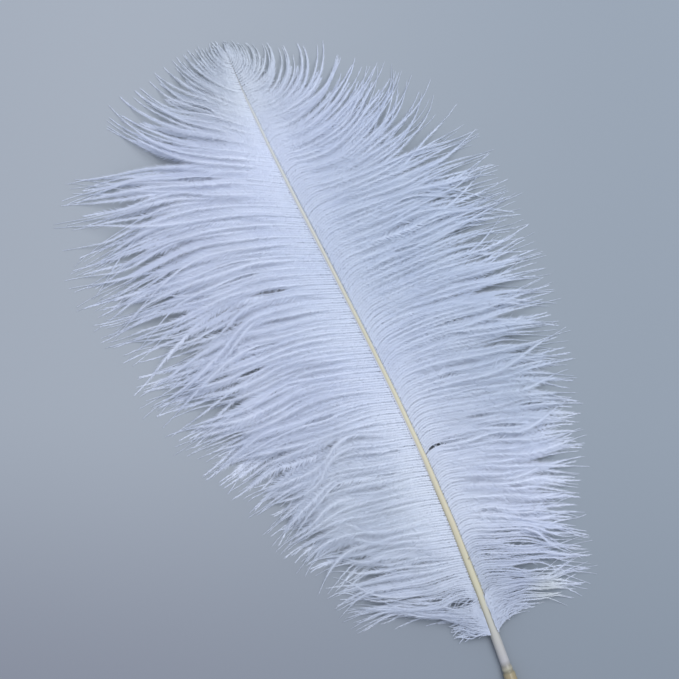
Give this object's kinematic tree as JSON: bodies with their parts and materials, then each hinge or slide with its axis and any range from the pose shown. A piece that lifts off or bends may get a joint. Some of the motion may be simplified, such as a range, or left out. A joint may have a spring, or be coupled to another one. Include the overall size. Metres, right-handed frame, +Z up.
{
  "type": "ostrich feather",
  "caption": "Ostrich plume lying flat: a long, gently arched shaft with a bare quill end and a wide oval vane of soft, loose, drooping barbs.",
  "frame": {"origin": "on the surface the feather lies on, under the middle of its bounding box", "axes": "+Y runs from the quill end to the tip, +X is the feather's right side seen from above with the tip away, +Z is up"},
  "size_m": [0.1858, 0.3167, 0.0162],
  "materials": {
    "feather": "soft, matt white keratin with a cream shaft and a tan quill end"
  },
  "bodies": {
    "root": {"feather": "feather"}
  },
  "joints": []
}
